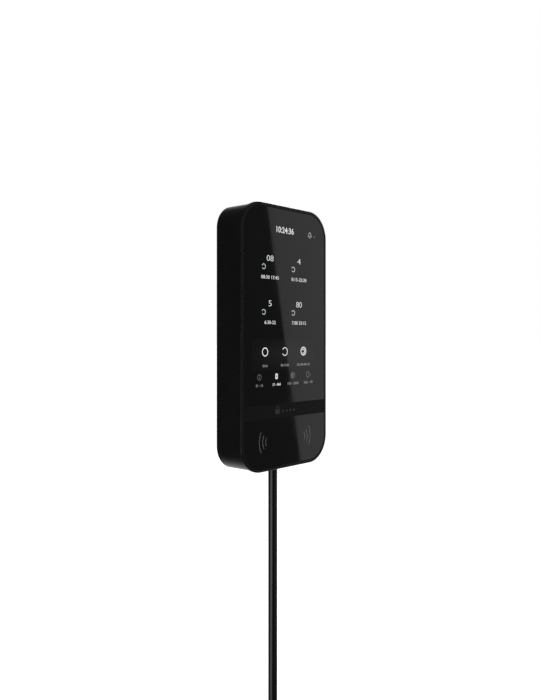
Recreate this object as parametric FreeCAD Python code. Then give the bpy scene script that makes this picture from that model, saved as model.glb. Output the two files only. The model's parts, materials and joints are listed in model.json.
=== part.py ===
import FreeCAD
import Part

import math
import os
from FreeCAD import Rotation, Vector

# A wall-mounted touch-screen alarm keypad with its wall bracket and hanging lead.
# Units are millimetres. The origin is the centre of the bracket's four wall-screw
# holes, on the wall plane. +X is right as one faces the screen, +Y points into the
# wall and +Z points up, so every part of the keypad has a negative y.

# Overall size of the keypad
WIDTH = 75.0
HEIGHT = 150.0
DEPTH = 20.2
CORNER_RADIUS = 15.75
BODY_CORNER_RADIUS = 13.4
LIP_THICKNESS = 2.0
LIP_OVERHANG = 0.95
LIP_ROUNDING = 0.6
RIM_WIDTH = 1.8
CASE_WALL = 1.8
FIT_GAP = 0.25
HALF_WIDTH = WIDTH / 2
HALF_HEIGHT = HEIGHT / 2
BODY_HALF_WIDTH = HALF_WIDTH - LIP_OVERHANG
BODY_HALF_HEIGHT = HALF_HEIGHT - LIP_OVERHANG

# Layers from the front of the glass to the wall, as y values
FRONT_Y = -DEPTH
LIP_BACK_Y = FRONT_Y + LIP_THICKNESS
GLASS_Y = (FRONT_Y + 0.1, FRONT_Y + 1.1)
POCKET_FLOOR_Y = GLASS_Y[1] + 0.2
WEB_BACK_Y = POCKET_FLOOR_Y + 1.3
TOUCH_Y = (GLASS_Y[1], GLASS_Y[1] + 0.5)
PANEL_Y = (TOUCH_Y[1], TOUCH_Y[1] + 1.4)
BACKLIGHT_Y = (PANEL_Y[1], PANEL_Y[1] + 2.1)
CARRIER_Y = (-14.9, -13.7)
BOARD_Y = (-12.6, -11.6)
REAR_WALL_Y = (-8.3, -6.5)
SKIRT_BACK_Y = -0.1
SKIRT_ROUNDING = 0.25
BRACKET_Y = (-1.8, 0.0)

# Front openings, as z values
BAND_Z = (-45.75, -38.1)
BAND_GAP = 0.1
GLASS_GAP = 0.15
SCREEN_HALF_WIDTH = 30.6
SCREEN_Z = (-40.0, 70.0)
SCREEN_CORNER_RADIUS = 6.5

# Frame spigot that plugs into the rear housing
SPIGOT_WALL = 1.0
SPIGOT_BACK_Y = -13.9

# Cable, its entry and its coil
CABLE_RADIUS = 2.7
CABLE_Y = -9.5
EXIT_Z = -74.85
CASE_FLOOR_Z = CASE_WALL - BODY_HALF_HEIGHT
COIL_CENTRE_Z = -273.4
COIL_MEAN_RADIUS = 28.0
COIL_TURNS_WIDE = 2
COIL_TURNS_DEEP = 3
COIL_OUTER_LINE = COIL_MEAN_RADIUS + (COIL_TURNS_WIDE - 1) * CABLE_RADIUS
LEAD_JOIN_ANGLE = 45.0
LEAD_JOIN = COIL_OUTER_LINE * math.cos(math.radians(LEAD_JOIN_ANGLE))
LEAD_BEND_Z = COIL_CENTRE_Z + 2 * LEAD_JOIN
TAIL_Y = CABLE_Y + (COIL_TURNS_DEEP - 1) * CABLE_RADIUS
TAIL_END_Z = COIL_CENTRE_Z - 34.5

# Wall bracket and the way the keypad hangs on it
KEYPAD_LIFT = 6.0
WALL_SCREW_X = 15.0
WALL_SCREW_Z = 50.0
WALL_SCREW_RADIUS = 2.2
HOOK_X = 24.0
HOOK_TOPS_Z = (44.0, -30.0)
HOOK_WIDTH = 8.0
HOOK_LIP_HEIGHT = 5.0
BRACKET_WINDOW = (13.0, -30.0, -6.0)
BACK_POCKET_PITCH = 10.0
BACK_POCKET_SIZE = 8.4
BACK_POCKET_DEPTH = 0.7

# Lock screw under the keypad, tamper plunger behind it
LOCK_X = 20.0
LOCK_Y = -4.0
LOCK_SHANK_RADIUS = 1.25
LOCK_TAB_Z = (-73.9, -71.4)
TAMPER_X = -23.0
TAMPER_Z = 15.0
TAMPER_SCREW_Z = 5.0
TAMPER_STEM_RADIUS = 1.5

# Fastener places, as (x, z)
CARRIER_SCREWS = [(side * 32.1, z) for side in (-1, 1) for z in (50.0, 5.0, -46.0)]
HOUSING_SCREWS = [(side * 27.0, z) for side in (-1, 1) for z in (60.0, -58.0)]
BOARD_SCREWS = [(side * 14.0, z) for side in (-1, 1) for z in (51.0, -50.0)]
RUNNING_GAP = 0.05


# ---------------------------------------------------------------- plain shapes
def block(x, y, z):
    """A box between three (low, high) pairs."""
    size = (x[1] - x[0], y[1] - y[0], z[1] - z[0])
    return Part.makeBox(*size, Vector(x[0], y[0], z[0]))


def slab(half_width, z, radius, y, centre_x=0.0):
    """A plate facing the front, with four round corners."""
    plate = block((centre_x - half_width, centre_x + half_width), y, z)
    corners = [e for e in plate.Edges if abs(e.tangentAt(e.FirstParameter).y) > 0.9]
    return plate.makeFillet(radius, corners)


def lip_slab(inset, y):
    """A plate that follows the front lip's outline, shrunk by inset."""
    z = HALF_HEIGHT - inset
    return slab(HALF_WIDTH - inset, (-z, z), CORNER_RADIUS - inset, y)


def body_slab(inset, y):
    """A plate that follows the rear housing's outline, shrunk by inset."""
    z = BODY_HALF_HEIGHT - inset
    return slab(BODY_HALF_WIDTH - inset, (-z, z), BODY_CORNER_RADIUS - inset, y)


def rod_y(x, z, radius, y):
    """A round bar from front to back."""
    return Part.makeCylinder(radius, y[1] - y[0], Vector(x, y[0], z), Vector(0, 1, 0))


def rod_z(x, y, radius, z):
    """A round bar from bottom to top."""
    return Part.makeCylinder(radius, z[1] - z[0], Vector(x, y, z[0]), Vector(0, 0, 1))


def ease(shape, radius, y):
    """Rounds the edges that lie flat in the plane at y."""
    flat = [
        e
        for e in shape.Edges
        if abs(e.BoundBox.YMin - y) < 1e-4 and abs(e.BoundBox.YMax - y) < 1e-4
    ]
    return shape.makeFillet(radius, flat)


def joined(first, *others):
    """Several touching shapes made into one solid."""
    return first.fuse(list(others)).removeSplitter()


def without(shape, *tools):
    """A shape with the tools cut away."""
    return shape.cut(list(tools)).removeSplitter()


def both_sides(make):
    """What make(side) gives on the left and on the right."""
    return [make(side) for side in (-1, 1)]


def facing(shape, place, direction):
    """A shape made along +Z at the origin, turned to a direction and moved."""
    turned = shape.copy()
    turned.Placement = FreeCAD.Placement(place, Rotation(Vector(0, 0, 1), direction))
    return turned


def screw(radius, length, head_radius, head_height, slotted=False):
    """A pan-head screw, its head above z = 0 and its shank below."""
    head = Part.makeCylinder(head_radius, head_height)
    rim = [e for e in head.Edges if abs(e.BoundBox.ZMin - head_height) < 1e-4]
    head = head.makeFillet(0.35 * head_height, rim)
    shank = Part.makeCylinder(radius, length, Vector(0, 0, -length))
    tip = [e for e in shank.Edges if abs(e.BoundBox.ZMax + length) < 1e-4]
    shank = shank.makeChamfer(0.3 * radius, tip)
    reach = head_radius * (1.1 if slotted else 0.6)
    cut = 0.13 * head_radius
    floor = 0.45 * head_height
    slot = block((-reach, reach), (-cut, cut), (floor, head_height + 1))
    tools = [slot]
    if not slotted:
        tools.append(slot.copy().rotate(Vector(), Vector(0, 0, 1), 90))
    return joined(head, shank).cut(tools)


# -------------------------------------------------------------- swept shapes
def route(points, report=None):
    """Straight runs joined by tangent arcs, each as large as its two runs allow."""
    edges = []
    start = points[0]
    radii = []
    for before, corner, after in zip(points, points[1:], points[2:]):
        run_in = corner - before
        run_out = after - corner
        half_turn = run_in.getAngle(run_out) / 2
        reach = 0.45 * min(run_in.Length, run_out.Length)
        radius = reach / math.tan(half_turn)
        radii.append(radius)
        unit_in = Vector(run_in).normalize()
        unit_out = Vector(run_out).normalize()
        arc_start = corner - unit_in * reach
        arc_end = corner + unit_out * reach
        inward = Vector(unit_out - unit_in).normalize()
        middle = corner + inward * (radius / math.cos(half_turn) - radius)
        edges.append(Part.makeLine(start, arc_start))
        edges.append(Part.Arc(arc_start, middle, arc_end).toShape())
        start = arc_end
    edges.append(Part.makeLine(start, points[-1]))
    if report:
        print(report, "bend radii", [round(r, 1) for r in radii])
    return Part.Wire(edges)


def tube(points, radius, report=None):
    """A round cord along a route."""
    path = route(points, report)
    along = points[1] - points[0]
    circle = Part.Wire(Part.makeCircle(radius, points[0], along))
    solid = path.makePipeShell([circle], True, False)
    if report:
        plain = math.pi * radius**2 * path.Length
        share = solid.Volume / plain
        print(report, "length", round(path.Length, 1), "volume ratio", round(share, 4))
    return solid


def ribbon(centre_x, width, thickness, line):
    """A flat flexible circuit across x that follows a line of (y, z) points."""
    points = [Vector(centre_x, y, z) for y, z in line]
    half_width = width / 2
    half = thickness / 2
    along = Vector(points[1] - points[0]).normalize()
    across = along.cross(Vector(1, 0, 0)) * half
    side = Vector(half_width, 0, 0)
    start = points[0]
    corners = [start + side + across, start + side - across]
    corners += [start - side - across, start - side + across]
    profile = Part.makePolygon(corners + corners[:1])
    return route(points).makePipeShell([profile], True, False)


def save(node, *shapes):
    """Writes one node's STEP file."""
    shape = shapes[0] if len(shapes) == 1 else Part.makeCompound(list(shapes))
    shape.exportStep("parts/" + node + ".step")


# ------------------------------------------------------------------- front
def glass_outline(gap, y):
    return lip_slab(RIM_WIDTH + gap, y)


def front_frame():
    lip = ease(lip_slab(0.0, (FRONT_Y, LIP_BACK_Y)), LIP_ROUNDING, FRONT_Y)
    spigot_inset = CASE_WALL + FIT_GAP
    spigot = body_slab(spigot_inset, (LIP_BACK_Y, SPIGOT_BACK_Y))
    pocket = glass_outline(0.0, (FRONT_Y - 1, POCKET_FLOOR_Y))
    hollow = body_slab(spigot_inset + SPIGOT_WALL, (WEB_BACK_Y, SPIGOT_BACK_Y + 1))
    window_z = (SCREEN_Z[0] - 2.2, SCREEN_Z[1] + 0.15)
    window_y = (FRONT_Y, WEB_BACK_Y + 1)
    window = slab(SCREEN_HALF_WIDTH + 0.15, window_z, SCREEN_CORNER_RADIUS, window_y)
    frame = without(joined(lip, spigot), pocket, hollow, window)
    posts = []
    for x, z in CARRIER_SCREWS:
        post = rod_y(x, z, 1.3, (WEB_BACK_Y, CARRIER_Y[0]))
        posts.append(post.cut(rod_y(x, z, 0.7, (WEB_BACK_Y, CARRIER_Y[0]))))
    return joined(frame, *posts)


def glass_pane(z):
    """The part of the front glass between two heights, its front edge eased."""
    outline = glass_outline(GLASS_GAP, GLASS_Y)
    pane = outline.common(block((-HALF_WIDTH, HALF_WIDTH), (FRONT_Y, 0), z))
    return ease(pane.removeSplitter(), 0.15, GLASS_Y[0])


def display_glass():
    return glass_pane((BAND_Z[1] + BAND_GAP, HALF_HEIGHT))


def reader_glass():
    return glass_pane((-HALF_HEIGHT, BAND_Z[0] - BAND_GAP))


def centre_band():
    half = HALF_WIDTH - RIM_WIDTH - GLASS_GAP
    band = block((-half, half), (FRONT_Y + 0.2, POCKET_FLOOR_Y), BAND_Z)
    return ease(band, 0.1, FRONT_Y + 0.2)


def glass_tape():
    """A ring of tape behind the display glass and a sheet behind the reader glass."""
    y = (GLASS_Y[1], POCKET_FLOOR_Y)
    outline = glass_outline(0.6, y)
    window_z = (SCREEN_Z[0] - 10, SCREEN_Z[1] + 0.5)
    window = slab(SCREEN_HALF_WIDTH + 0.5, window_z, SCREEN_CORNER_RADIUS, y)
    upper_z = (BAND_Z[1] + 0.5, HALF_HEIGHT)
    lower_z = (-HALF_HEIGHT, BAND_Z[0] - 0.5)
    whole = (-HALF_WIDTH, HALF_WIDTH)
    ring = outline.common(block(whole, y, upper_z)).cut(window)
    sheet = outline.common(block(whole, y, lower_z))
    return ring, sheet


# ----------------------------------------------------------------- display
def touch_sensor():
    z = (BAND_Z[1] + 0.3, SCREEN_Z[1] - 0.3)
    return slab(SCREEN_HALF_WIDTH - 0.2, z, SCREEN_CORNER_RADIUS, TOUCH_Y)


def display_panel():
    return slab(SCREEN_HALF_WIDTH, SCREEN_Z, SCREEN_CORNER_RADIUS, PANEL_Y)


def backlight():
    tray = slab(SCREEN_HALF_WIDTH, SCREEN_Z, SCREEN_CORNER_RADIUS, BACKLIGHT_Y)
    return ease(tray, 0.4, BACKLIGHT_Y[1])


def display_tape():
    """Two strips of foam tape between the backlight and the carrier."""
    y = (BACKLIGHT_Y[1], CARRIER_Y[0])
    z = (SCREEN_Z[0] + 6, SCREEN_Z[1] - 6)
    return both_sides(lambda side: slab(2.5, z, 1.0, y, side * 24.0))


FOLD_Z = SCREEN_Z[0] - 1.6
SOCKET_Z = (FOLD_Z + 2.8, FOLD_Z + 6.0)
RIBBON_BACK_Y = -13.3
DISPLAY_RIBBON = (4.0, 18.0)
TOUCH_RIBBON = (-16.0, 10.0)


def display_ribbon():
    y = PANEL_Y[1] - 0.2
    line = [(y, SCREEN_Z[0]), (y, FOLD_Z)]
    line += [(RIBBON_BACK_Y, FOLD_Z), (RIBBON_BACK_Y, SOCKET_Z[0])]
    return ribbon(*DISPLAY_RIBBON, 0.2, line)


def touch_ribbon():
    y = TOUCH_Y[1] - 0.12
    line = [(y, BAND_Z[1] + 0.3), (y, FOLD_Z)]
    line += [(RIBBON_BACK_Y, FOLD_Z), (RIBBON_BACK_Y, SOCKET_Z[0])]
    return ribbon(*TOUCH_RIBBON, 0.12, line)


# ---------------------------------------------------- carrier and electronics
ANTENNA_Y = (WEB_BACK_Y + 0.1, WEB_BACK_Y + 0.8)
ANTENNA_Z = (-69.5, -47.5)
ANTENNA_PINS = (-4.0, 4.0)
ANTENNA_PIN_Z = -49.8
STANDOFF_RADIUS = 3.0
STANDOFF_BACK_Y = REAR_WALL_Y[0] - RUNNING_GAP


def display_carrier():
    plate = body_slab(CASE_WALL + FIT_GAP + SPIGOT_WALL + 0.2, CARRIER_Y)
    adds = []
    cuts = []
    for x, z in HOUSING_SCREWS:
        adds.append(rod_y(x, z, STANDOFF_RADIUS, (CARRIER_Y[1], STANDOFF_BACK_Y)))
        cuts.append(rod_y(x, z, 2.0, (STANDOFF_BACK_Y - 4.2, 0)))
    for x, z in BOARD_SCREWS:
        adds.append(rod_y(x, z, 2.3, (CARRIER_Y[1], BOARD_Y[0])))
        cuts.append(rod_y(x, z, 1.0, (CARRIER_Y[0] + 0.3, 0)))
    for x, z in CARRIER_SCREWS:
        cuts.append(rod_y(x, z, 0.8, (CARRIER_Y[0] - 1, 0)))
    for side in (-1, 1):
        cuts.append(rod_y(side * CLAMP_SCREW_X, CLAMP_SCREW_Z, 0.95, (CARRIER_Y[0] - 1, 0)))
    for centre, width in (DISPLAY_RIBBON, TOUCH_RIBBON):
        across = (centre - width / 2 - 0.6, centre + width / 2 + 0.6)
        cuts.append(block(across, (-20, -10), (FOLD_Z - 0.8, FOLD_Z + 0.8)))
    for x in ANTENNA_PINS:
        cuts.append(rod_y(x, ANTENNA_PIN_Z, 1.2, (CARRIER_Y[0] - 1, 0)))
    return without(joined(plate, *adds), *cuts)


def carrier_screws():
    one = screw(0.65, 2.4, 1.15, 0.7)
    places = [Vector(x, CARRIER_Y[1], z) for x, z in CARRIER_SCREWS]
    return [facing(one, place, Vector(0, 1, 0)) for place in places]


def main_board():
    board = slab(29.5, (-54.0, 55.0), 2.0, BOARD_Y)
    holes = [rod_y(x, z, 1.1, BOARD_Y) for x, z in BOARD_SCREWS]
    return without(board, *holes)


def board_screws():
    one = screw(0.95, 2.1, 1.8, 1.0)
    places = [Vector(x, BOARD_Y[1], z) for x, z in BOARD_SCREWS]
    return [facing(one, place, Vector(0, 1, 0)) for place in places]


def shield_can():
    """A pressed screening can over the processor, open towards the board."""
    y = (BOARD_Y[1], BOARD_Y[1] + 2.0)
    can = ease(slab(12.0, (10.0, 34.0), 0.8, y, -2.0), 0.3, y[1])
    inside = block((-13.8, 9.8), (y[0] - 1, y[1] - 0.2), (10.2, 33.8))
    return without(can, inside)


def board_chips():
    """Packages on the rear of the main board, as (x, z, width, height, thickness)."""
    packages = [
        (-2.0, 22.0, 12.0, 12.0, 1.1),
        (-8.0, -2.0, 7.0, 7.0, 0.9),
        (4.0, -3.0, 5.0, 6.0, 1.0),
        (-4.0, -18.0, 6.0, 5.0, 1.4),
        (7.0, -19.0, 5.0, 5.0, 2.2),
        (-23.0, -10.0, 4.0, 6.0, 1.5),
    ]
    chips = []
    for x, z, width, height, thickness in packages:
        y = (BOARD_Y[1], BOARD_Y[1] + thickness)
        package = slab(width / 2, (z - height / 2, z + height / 2), 0.3, y, x)
        chips.append(ease(package, 0.15, y[1]))
    return chips


def ribbon_sockets():
    """Sockets on the front of the main board for the two flexible circuits."""
    sockets = []
    for centre, width in (DISPLAY_RIBBON, TOUCH_RIBBON):
        half = width / 2 + 1.5
        y = (BOARD_Y[0] - 0.95, BOARD_Y[0])
        sockets.append(block((centre - half, centre + half), y, SOCKET_Z))
    return sockets


BUZZER_X = 20.0
BUZZER_Z = 5.0
BUZZER_Y = (BOARD_Y[1], BOARD_Y[1] + 2.7)


def buzzer():
    body = ease(rod_y(BUZZER_X, BUZZER_Z, 4.5, BUZZER_Y), 0.4, BUZZER_Y[1])
    return body.cut(rod_y(BUZZER_X, BUZZER_Z, 0.8, (BUZZER_Y[1] - 0.8, 0)))


def antenna_board():
    return slab(30.0, ANTENNA_Z, 8.5, ANTENNA_Y)


def antenna_coil():
    """Three nested copper loops on the rear of the antenna board."""
    y = (ANTENNA_Y[1], ANTENNA_Y[1] + 0.1)
    loops = []
    for turn in range(3):
        edge = 1.0 + 1.5 * turn
        z = (ANTENNA_Z[0] + edge, ANTENNA_Z[1] - edge - 3.5)
        outer = slab(30.0 - edge, z, 7.5 - edge, y)
        inner_z = (z[0] + 0.7, z[1] - 0.7)
        inner = slab(30.0 - edge - 0.7, inner_z, 6.8 - edge, y)
        loops.append(outer.cut(inner))
    return loops


def ferrite_sheet():
    y = (ANTENNA_Y[1] + 0.1, ANTENNA_Y[1] + 0.5)
    return slab(29.5, (ANTENNA_Z[0] + 0.5, ANTENNA_Z[1] - 4.0), 8.0, y)


def antenna_pins():
    """Two spring pins from the main board to the antenna board."""
    pins = []
    for x in ANTENNA_PINS:
        barrel = rod_y(x, ANTENNA_PIN_Z, 0.8, (-15.2, BOARD_Y[0]))
        tip = rod_y(x, ANTENNA_PIN_Z, 0.5, (ANTENNA_Y[1], -15.2))
        pins.append(joined(barrel, tip))
    return pins


# ---------------------------------------------------------- cable entry
TERMINAL_Z = (-54.0, -45.5)
TERMINAL_BACK_Y = -5.0
TERMINAL_PITCH = 3.5
TERMINAL_XS = [TERMINAL_PITCH * (i - 1.5) for i in range(4)]
WIRE_Y = -9.3
TERMINAL_SCREW_Y = TERMINAL_BACK_Y - 2.6
CLAMP_Z = (-68.5, -64.0)
CLAMP_SCREW_X = 6.2
CLAMP_SCREW_Z = -66.25
CLAMP_TOP_Y = -7.2
CORE_RADIUS = 0.75
SHEATH_END_Z = -61.0


def terminal_block():
    y = (BOARD_Y[1], TERMINAL_BACK_Y)
    body = ease(slab(8.2, TERMINAL_Z, 0.4, y), 0.3, y[1])
    middle_z = sum(TERMINAL_Z) / 2
    cuts = []
    for x in TERMINAL_XS:
        cuts.append(rod_z(x, WIRE_Y, 1.2, (TERMINAL_Z[0] - 1, middle_z + 1.5)))
        cuts.append(rod_y(x, middle_z, 1.4, (TERMINAL_SCREW_Y, 0)))
        cuts.append(rod_y(x, middle_z, 0.75, (TERMINAL_SCREW_Y - 0.6, 0)))
    return without(body, *cuts)


def terminal_screws():
    one = screw(0.7, 0.55, 1.25, 1.4, slotted=True)
    middle_z = sum(TERMINAL_Z) / 2
    places = [Vector(x, TERMINAL_SCREW_Y, middle_z) for x in TERMINAL_XS]
    return [facing(one, place, Vector(0, 1, 0)) for place in places]


def cable_grommet():
    """A flanged rubber ring in the hole in the housing's underside."""
    floor_low = CASE_FLOOR_Z - CASE_WALL
    neck = rod_z(0, CABLE_Y, 3.9, (floor_low, CASE_FLOOR_Z))
    outer = rod_z(0, CABLE_Y, 5.2, (EXIT_Z, floor_low))
    inner = rod_z(0, CABLE_Y, 4.3, (CASE_FLOOR_Z, CASE_FLOOR_Z + 1.0))
    bore = rod_z(0, CABLE_Y, CABLE_RADIUS, (EXIT_Z - 1, CASE_FLOOR_Z + 2))
    return without(joined(neck, outer, inner), bore)


def clamp_half(y):
    body = slab(8.4, CLAMP_Z, 0.8, y)
    cable = rod_z(0, CABLE_Y, CABLE_RADIUS, (CLAMP_Z[0] - 1, CLAMP_Z[1] + 1))
    holes = both_sides(lambda side: rod_y(side * CLAMP_SCREW_X, CLAMP_SCREW_Z, 1.05, y))
    return without(body, cable, *holes)


def clamp_cradle():
    return clamp_half((CARRIER_Y[1], CABLE_Y - 0.15))


def cable_clamp():
    """The strap that grips the sheath, arched over it between two low feet."""
    foot_y = (CABLE_Y + 0.15, CLAMP_TOP_Y)
    arch = rod_z(0, CABLE_Y, CABLE_RADIUS + 1.2, CLAMP_Z)
    arch = arch.common(block((-5, 5), (CABLE_Y + 0.15, 0), CLAMP_Z))
    cable = rod_z(0, CABLE_Y, CABLE_RADIUS, (CLAMP_Z[0] - 1, CLAMP_Z[1] + 1))
    return without(joined(clamp_half(foot_y), arch), cable)


def clamp_screws():
    one = screw(0.9, 7.0, 1.7, 1.1)
    places = [Vector(side * CLAMP_SCREW_X, CLAMP_TOP_Y, CLAMP_SCREW_Z) for side in (-1, 1)]
    return [facing(one, place, Vector(0, 1, 0)) for place in places]


def cable_sheath():
    """The end of the cable inside the keypad."""
    return rod_z(0, CABLE_Y, CABLE_RADIUS, (EXIT_Z, SHEATH_END_Z))


def wire_cores():
    """Four insulated cores that fan out from the sheath to the terminals."""
    cores = []
    for i, x in enumerate(TERMINAL_XS):
        start_x = math.copysign(1.0, x) * 1.0
        start_y = CABLE_Y + (1.0 if i in (0, 3) else -1.0)
        line = [
            Vector(start_x, start_y, SHEATH_END_Z),
            Vector(start_x, start_y, SHEATH_END_Z + 1.8),
            Vector(x, WIRE_Y, TERMINAL_Z[0] - 1.6),
            Vector(x, WIRE_Y, TERMINAL_Z[0] + 4.0),
        ]
        cores.append(tube(line, CORE_RADIUS))
    return cores


# -------------------------------------------------------------------- tamper
TAMPER_TIP_Y = BRACKET_Y[0] - 0.4
TAMPER_INNER_Y = -9.9
TAMPER_FLANGE_Y = (REAR_WALL_Y[0] - 1.0, REAR_WALL_Y[0] - RUNNING_GAP)


def tamper_switch():
    y = (BOARD_Y[1], BOARD_Y[1] + 0.6)
    x = (TAMPER_X - 1.2, TAMPER_X + 1.2)
    return block(x, y, (TAMPER_Z - 1.2, TAMPER_Z + 1.2))


def tamper_plunger():
    stem_y = (TAMPER_INNER_Y, TAMPER_TIP_Y)
    stem = rod_y(TAMPER_X, TAMPER_Z, TAMPER_STEM_RADIUS, stem_y)
    stem = ease(stem, 0.6, TAMPER_TIP_Y)
    flange = rod_y(TAMPER_X, TAMPER_Z, 2.6, TAMPER_FLANGE_Y)
    return joined(stem, flange)


def tamper_spring():
    """A short coil spring between the main board and the plunger's flange."""
    wire = 0.16
    mean_radius = 2.1
    length = TAMPER_FLANGE_Y[0] - BOARD_Y[1] - 2 * wire - 0.1
    turns = 3
    helix = Part.makeHelix(length / turns, length, mean_radius)
    start = Vector(mean_radius, 0, 0)
    circle = Part.Wire(Part.makeCircle(wire, start, Vector(0, 1, 0)))
    spring = Part.Wire(helix.Edges).makePipeShell([circle], True, True)
    place = Vector(TAMPER_X, BOARD_Y[1] + wire + 0.05, TAMPER_Z)
    return facing(spring, place, Vector(0, 1, 0))


# ------------------------------------------------------------- rear housing
WELL_HALF_WIDTH = 12.0
WELL_TOP_Z = -38.5
WELL_FLOOR_Y = -3.8
WELL_WALL = 1.5
LOCK_BOSS_Z = (LOCK_TAB_Z[1] + 0.2, -65.0)


def hook_pocket(x, top_z):
    """The closed pocket inside the housing that takes a bracket hook."""
    half = HOOK_WIDTH / 2
    across = (x - half - 1.8, x + half + 1.8)
    z = (top_z - 9.7, top_z + HOOK_LIP_HEIGHT + 1.6)
    return block(across, (-11.2, REAR_WALL_Y[0]), z)


def hook_hollows(x, top_z):
    """The window in the rear wall and the room behind it for the hook's lip."""
    half = HOOK_WIDTH / 2
    low = top_z - 2.0 - KEYPAD_LIFT - 0.5
    window = block((x - half - 0.4, x + half + 0.4), (-10.2, -6), (low, top_z + 0.1))
    room_z = (low, top_z + HOOK_LIP_HEIGHT + 0.4)
    room = block((x - half - 0.6, x + half + 0.6), (-10.2, REAR_WALL_Y[0]), room_z)
    return [window, room]


def sound_holes():
    places = [(BUZZER_X, BUZZER_Z)]
    for i in range(6):
        angle = math.radians(60 * i)
        x = BUZZER_X + 2.6 * math.cos(angle)
        places.append((x, BUZZER_Z + 2.6 * math.sin(angle)))
    return [rod_y(x, z, 0.6, REAR_WALL_Y) for x, z in places]


def rear_housing():
    shell = ease(body_slab(0.0, (LIP_BACK_Y, SKIRT_BACK_Y)), SKIRT_ROUNDING, SKIRT_BACK_Y)
    front_hollow = body_slab(CASE_WALL, (LIP_BACK_Y - 1, REAR_WALL_Y[0]))
    rear_recess = body_slab(CASE_WALL, (REAR_WALL_Y[1], 1.0))
    adds = []
    cuts = []

    # a deeper well for the cable and its terminals
    outer = WELL_HALF_WIDTH + WELL_WALL
    well_y = (REAR_WALL_Y[1], WELL_FLOOR_Y + WELL_WALL)
    adds.append(block((-outer, outer), well_y, (CASE_FLOOR_Z - 0.5, WELL_TOP_Z + WELL_WALL)))
    well_x = (-WELL_HALF_WIDTH, WELL_HALF_WIDTH)
    cuts.append(block(well_x, (REAR_WALL_Y[0] - 1, WELL_FLOOR_Y), (CASE_FLOOR_Z, WELL_TOP_Z)))

    for side in (-1, 1):
        for top_z in HOOK_TOPS_Z:
            adds.append(hook_pocket(side * HOOK_X, top_z))
            cuts += hook_hollows(side * HOOK_X, top_z)

    # boss and notch for the lock screw and the bracket's tab
    boss_x = (LOCK_X - 4.0, LOCK_X + 4.0)
    adds.append(block(boss_x, (REAR_WALL_Y[1], BRACKET_Y[0] - 0.2), LOCK_BOSS_Z))
    cuts.append(rod_z(LOCK_X, LOCK_Y, LOCK_SHANK_RADIUS + RUNNING_GAP, LOCK_BOSS_Z))
    notch_x = (LOCK_X - 4.2, LOCK_X + 4.2)
    notch_z = (-HALF_HEIGHT, LOCK_TAB_Z[1] + 0.15)
    cuts.append(block(notch_x, (-6.9, 1.0), notch_z))

    cuts.append(rod_z(0, CABLE_Y, 3.9, (-HALF_HEIGHT, CASE_FLOOR_Z + 1)))
    hole_radius = TAMPER_STEM_RADIUS + RUNNING_GAP
    cuts.append(rod_y(TAMPER_X, TAMPER_Z, hole_radius, REAR_WALL_Y))
    cuts += [rod_y(x, z, 1.45, REAR_WALL_Y) for x, z in HOUSING_SCREWS]
    cuts += sound_holes()
    hollow_shell = without(shell, front_hollow, rear_recess)
    return without(joined(hollow_shell, *adds), *cuts)


def screw_inserts():
    """Brass inserts in the carrier's four long standoffs."""
    y = (STANDOFF_BACK_Y - 4.0, STANDOFF_BACK_Y)
    return [rod_y(x, z, 2.0, y).cut(rod_y(x, z, 1.2, y)) for x, z in HOUSING_SCREWS]


def housing_screws():
    one = screw(1.15, 5.4, 2.3, 1.4)
    places = [Vector(x, REAR_WALL_Y[1], z) for x, z in HOUSING_SCREWS]
    return [facing(one, place, Vector(0, 1, 0)) for place in places]


def id_label():
    return slab(11.0, (24.0, 38.0), 1.0, (REAR_WALL_Y[1], REAR_WALL_Y[1] + 0.12))


# -------------------------------------------------------------- wall bracket
def bracket_hook(x, top_z):
    """An L-shaped hook: a neck out of the plate and a lip that points up."""
    across = (x - HOOK_WIDTH / 2, x + HOOK_WIDTH / 2)
    lip_y = (REAR_WALL_Y[0] - 1.6, REAR_WALL_Y[0] - 0.2)
    neck = block(across, (lip_y[0], BRACKET_Y[0]), (top_z - 2.0, top_z))
    lip = block(across, lip_y, (top_z - 2.0, top_z + HOOK_LIP_HEIGHT))
    return joined(neck, lip)


def wall_hole(x, z):
    """A countersunk hole for a wall screw."""
    drill = rod_y(x, z, WALL_SCREW_RADIUS, (BRACKET_Y[0] - 1, 1.0))
    head = WALL_SCREW_RADIUS + 1.3
    mouth = Vector(x, BRACKET_Y[0], z)
    sink = Part.makeCone(head, WALL_SCREW_RADIUS, 0.9, mouth, Vector(0, 1, 0))
    return drill.fuse(sink)


def tamper_tongue_slots():
    """Slots that let the part round the tamper screw break out if the bracket is torn off."""
    y = (BRACKET_Y[0] - 1, 1.0)
    x = (TAMPER_X - 6.0, TAMPER_X + 6.0)
    z = (TAMPER_SCREW_Z - 6.0, TAMPER_Z + 4.0)
    width = 0.8
    return [
        block((x[0] + 1.5, x[1] - 1.5), y, (z[0], z[0] + width)),
        block((x[0] + 1.5, x[1] - 1.5), y, (z[1] - width, z[1])),
        block((x[0], x[0] + width), y, (z[0] + 1.5, z[1] - 1.5)),
        block((x[1] - width, x[1]), y, (z[0] + 1.5, z[1] - 1.5)),
    ]


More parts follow.
